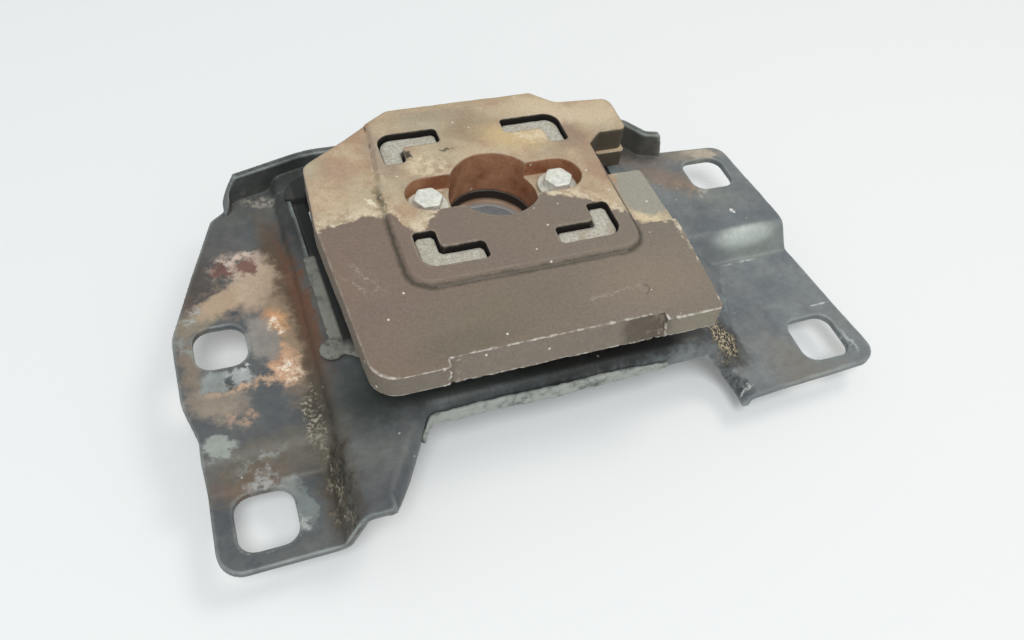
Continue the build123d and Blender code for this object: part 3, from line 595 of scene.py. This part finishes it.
# Dirt behind the line: tan in two shades, with greenish clouds, and cream flakes along its front edge
dirt_mix = ramp(cast_iron, cloud_12mm.outputs["Fac"], 0.38, 0.62)
dirt_tone = mix(cast_iron, dirt_mix, tint("#AD9075"), tint("#C3B092"))
green_mix = ramp(cast_iron, cloud_30mm.outputs["Fac"], 0.42, 0.68, high=0.65)
dirt_tone = mix(cast_iron, green_mix, dirt_tone, tint("#A9A58F"))
dirt_tone = mix(cast_iron, thick, dirt_tone, tint("#D9CBB0"))
for shade, centre, size, turn, edge, strength, pattern in (
    # Pinkish film at the left corner, grey-brown and golden patches behind the hole, cream crust round the bolts
    ("#AE927C", (-56, 21), (7, 8), -20, 0.6, 0.8, None),
    ("#C9B195", (-62, 8), (5, 10), 10, 0.6, 0.7, flakes),
    ("#97897A", (-38, 24), (5, 14), 8, 0.6, 0.6, None),
    ("#C2B193", (-41, 14), (0.8, 12), 6, 0.5, 0.9, flakes),
    ("#75694F", (-43.6, 2), (1.1, 7), 4, 0.5, 0.8, None),
    ("#95866F", (2, 33), (11, 8), -20, 0.6, 0.6, None),
    ("#9A8C79", (-10, 44), (14, 4), -4, 0.7, 0.6, None),
    ("#CDB488", (16, 25), (13, 7), -20, 0.6, 0.85, None),
    ("#DCCBAA", (24, 24), (7, 4), -20, 0.5, 0.9, flakes),
    ("#8D7768", (38, 22), (6, 9), 10, 0.6, 0.7, None),
    ("#A08671", (43, 6), (5, 12), 4, 0.7, 0.7, None),
    ("#D9C7A8", (-22, 15), (9, 6), -30, 0.5, 0.9, flakes),
    ("#5D5340", (-12.5, 22.5), (2.2, 1.1), 0, 0.4, 0.9, None),
    ("#3B382C", (-28.6, 22.8), (1.7, 2.9), 4, 0.3, 0.95, None),
    ("#8F7F6C", (-29, 4), (6, 5), 0, 0.7, 0.6, None),
    ("#E3D9C1", (-47.5, 1.5), (0.9, 3.4), 24, 0.3, 0.9, None),
    ("#D8C6A4", (54, -28), (6, 3.4), -30, 0.5, 0.95, None),
    ("#D2BFA1", (56, 32), (10, 7), 0, 0.7, 0.8, None),
    ("#D2BFA5", (38, 34), (10, 6), 0, 0.6, 0.85, None),
    ("#CFBC9D", (30, 42), (12, 6), 0, 0.7, 0.85, None),
    ("#B29D80", (0, 49.5), (30, 2.0), 0, 0.6, 0.7, None),
):
    dirt_tone = stain(cast_iron, ragged, dirt_tone, shade, centre, size, turn, edge, strength, pattern)
colour = mix(cast_iron, dirty, colour, dirt_tone)
# Cream crumbs of dirt lie along the right edge, and the shelf beside the field is grey
colour = stain(cast_iron, ragged, colour, "#D5C9B2", (61.5, -58), (0.9, 17), 3, 0.5, 0.9, flakes)
colour = stain(cast_iron, ragged, colour, "#DDD2BC", (61, -36), (1.3, 4), 0, 0.5, 0.9, flakes)
colour = stain(cast_iron, ragged, colour, "#9B998D", (56, -13.5), (9.4, 13.5), 0, 0.1, 0.95)
colour = stain(cast_iron, ragged, colour, "#A19A84", (58, -27.5), (5, 2), 10, 0.4, 0.8, flakes)
# Painted shade lies in the corner at the foot of the field's step, at its front; the outline has corners of 9 mm
step_centre = (0.2 * MM, 16.5 * MM, 0)
step_half = (35.3 * MM, 51.0 * MM, 1)
from_step = add(cast_iron, "VectorMath", {0: where, 1: step_centre}, operation="SUBTRACT")
from_step = add(cast_iron, "VectorMath", {0: from_step.outputs[0]}, operation="ABSOLUTE")
from_step = add(cast_iron, "VectorMath", {0: from_step.outputs[0], 1: step_half}, operation="SUBTRACT")
from_step = add(cast_iron, "VectorMath", {0: from_step.outputs[0], 1: (0, 0, 0)}, operation="MAXIMUM")
from_step = add(cast_iron, "VectorMath", {0: from_step.outputs[0]}, operation="LENGTH")
from_step = combine(cast_iron, "MULTIPLY_ADD", ragged_5mm.outputs["Fac"], 2.4 * MM, from_step.outputs["Value"])
foot_of_step = ramp(cast_iron, from_step, 9.4 * MM, 10.3 * MM)
past_step = ramp(cast_iron, from_step, 12.2 * MM, 10.7 * MM)
painted_recess_shade = combine(cast_iron, "MULTIPLY", foot_of_step, past_step)
in_front = ramp(cast_iron, place.outputs["Y"], 4 * MM, -12 * MM, high=0.8)
painted_recess_shade = combine(cast_iron, "MULTIPLY", painted_recess_shade, in_front)
colour = mix(cast_iron, painted_recess_shade, colour, tint("#3E3A2F"))
# Walls: rusty in the hole and its pockets, painted black as shade in the slots, dark at the rear right, else
# grey-brown
steep = ramp(cast_iron, up.outputs["Z"], 0.72, 0.45)
reach = add(cast_iron, "VectorMath", {0: where}, operation="ABSOLUTE")
reach = add(cast_iron, "SeparateXYZ", {"Vector": reach.outputs[0]})
within_x = ramp(cast_iron, reach.outputs["X"], 39.4 * MM, 38.9 * MM)
in_rust = ramp(cast_iron, reach.outputs["Y"], 18.4 * MM, 17.9 * MM)
in_slot = ramp(cast_iron, reach.outputs["Y"], 38.4 * MM, 37.9 * MM)
in_rust = combine(cast_iron, "MULTIPLY", in_rust, within_x)
in_slot = combine(cast_iron, "MULTIPLY", in_slot, within_x)
rust_mix = ramp(cast_iron, cloud_12mm.outputs["Fac"], 0.35, 0.65)
rust_tone = mix(cast_iron, rust_mix, tint("#8A5538"), tint("#B98A68"))
wall_tone = mix(cast_iron, in_slot, tint("#7E7468"), tint("#1D1711"))
# The front wall is darker at the scoop's right end, and tan beside it
wall_tone = stain(cast_iron, ragged, wall_tone, "#574E42", (30, -75), (8, 6), 0, 0.4, 0.85)
wall_tone = stain(cast_iron, ragged, wall_tone, "#8D8474", (50, -76), (10, 6), 0, 0.5, 0.85)
behind_ear = ramp(cast_iron, place.outputs["Y"], 8 * MM, 14 * MM, high=0.9)
right_of_field = ramp(cast_iron, place.outputs["X"], 40 * MM, 45 * MM)
behind_ear = combine(cast_iron, "MULTIPLY", behind_ear, right_of_field)
wall_tone = mix(cast_iron, behind_ear, wall_tone, tint("#4A4030"))
wall_tone = mix(cast_iron, in_rust, wall_tone, rust_tone)
colour = mix(cast_iron, steep, colour, wall_tone)
# Worn edges: a pale broken line, fainter at the right, and bright glints where the front edge is chipped,
# partly bare iron and partly painted highlight
worn_here = ramp(cast_iron, ragged_5mm.outputs["Fac"], 0.4, 0.58, low=0.15)
sharp = ramp(cast_iron, facing.outputs["Pointiness"], 0.52, 0.58)
worn_line = combine(cast_iron, "MULTIPLY", sharp, worn_here)
rubbed_less = ramp(cast_iron, place.outputs["X"], 12 * MM, 34 * MM, 0.85, 0.4)
worn_line = combine(cast_iron, "MULTIPLY", worn_line, rubbed_less)
colour = mix(cast_iron, worn_line, colour, tint("#B3A797"))
at_front = ramp(cast_iron, place.outputs["Y"], -70 * MM, -72 * MM)
glints = combine(cast_iron, "MULTIPLY", sharp, flakes)
glints = combine(cast_iron, "MULTIPLY", glints, at_front)
colour = mix(cast_iron, glints, colour, tint("#E2DFD6"))
# Pale grains half a millimetre across, about a centimetre apart, and the grain of the sand mould
dust_9mm = add(cast_iron, "TexVoronoi", {"Vector": where, "Scale": 130.0})
dust_here = ramp(cast_iron, dust_9mm.outputs["Distance"], 0.075, 0.045)
colour = mix(cast_iron, dust_here, colour, tint("#D8D3C8"))
mottle = ramp(cast_iron, pits_1mm.outputs["Fac"], 0.3, 0.7, 0.84, 1.12)
colour = add(cast_iron, "VectorMath", {0: colour, "Scale": mottle}, operation="SCALE").outputs[0]
relief = combine(cast_iron, "MULTIPLY_ADD", flakes_3mm.outputs["Fac"], 1.2, pits_1mm.outputs["Fac"])
bumps = add(cast_iron, "Bump", {"Height": relief, "Distance": 0.22 * MM, "Strength": 0.75})
cast_iron.node_tree.links.new(colour, cast_iron_shader.inputs["Base Color"])
cast_iron.node_tree.links.new(bumps.outputs[0], cast_iron_shader.inputs["Normal"])
plate.data.materials.append(cast_iron)
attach(plate, "root")
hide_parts("inertia_plate")

# Bolts and washers: two zinc-plated hexagon bolts, each on a thick plain washer, screwed into the core.
# The plating has gone matt and chalky, and dust lies in the corner where each washer meets the pocket's floor.
zinc, zinc_shader = finish("chalky_zinc_plate", metallic=0.25, roughness=0.6)
where = add(zinc, "TexCoord").outputs["Object"]
place = add(zinc, "SeparateXYZ", {"Vector": where})
chalk_2mm = add(zinc, "TexNoise", {"Vector": where, "Scale": 450.0, "Detail": 6.0, "Roughness": 0.65})
chalk = ramp(zinc, chalk_2mm.outputs["Fac"], 0.4, 0.62)
colour = mix(zinc, chalk, tint("#D2D3C8"), tint("#F0F0E8"))
low_down = ramp(zinc, place.outputs["Z"], 51.5 * MM, 50.4 * MM, high=0.7)
colour = mix(zinc, low_down, colour, tint("#A7987E"))
bumps = add(zinc, "Bump", {"Height": chalk_2mm.outputs["Fac"], "Distance": 0.08 * MM, "Strength": 0.5})
zinc.node_tree.links.new(colour, zinc_shader.inputs["Base Color"])
zinc.node_tree.links.new(bumps.outputs[0], zinc_shader.inputs["Normal"])
for node in ("washer_left", "washer_right", "bolt_left", "bolt_right"):
    fastener = worn_copy(node, 0.3, 3)
    fastener.data.materials.append(zinc)
    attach(fastener, "root")
    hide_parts(node)
